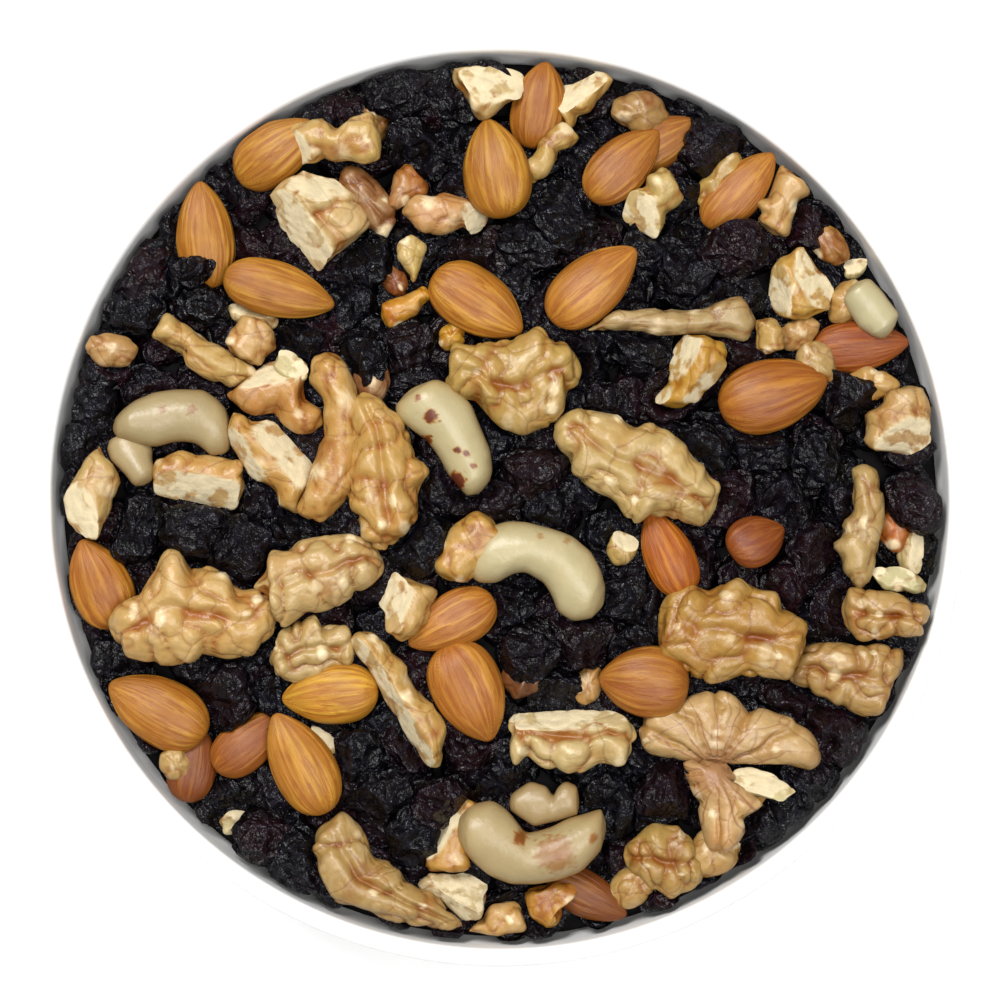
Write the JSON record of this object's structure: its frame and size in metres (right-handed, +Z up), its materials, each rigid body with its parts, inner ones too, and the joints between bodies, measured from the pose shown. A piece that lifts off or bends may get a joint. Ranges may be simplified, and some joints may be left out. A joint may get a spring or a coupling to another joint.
{
  "type": "bowl of trail mix",
  "caption": "Plain white glazed bowl filled to the rim with trail mix: whole almonds, walnut halves and pieces, curved cashews and wrinkled black raisins.",
  "frame": {"origin": "centre of the foot ring's base, on the surface that the bowl stands on", "axes": "+Z up, +X to the right and +Y to the top of the picture, which looks straight down"},
  "size_m": [0.2114, 0.2114, 0.0676],
  "materials": {
    "white_glaze": "smooth white glaze",
    "nuts_and_raisins": "mean colour of the mix, matt",
    "almond_skin": "orange-brown streaked skin, satin",
    "walnut": "tan folded kernel, slightly oily",
    "cashew": "pale cream kernel, satin",
    "raisin": "near-black wrinkled skin, soft shine"
  },
  "bodies": {
    "root": {"bowl": "white_glaze", "trail_mix": "nuts_and_raisins"}
  },
  "joints": []
}
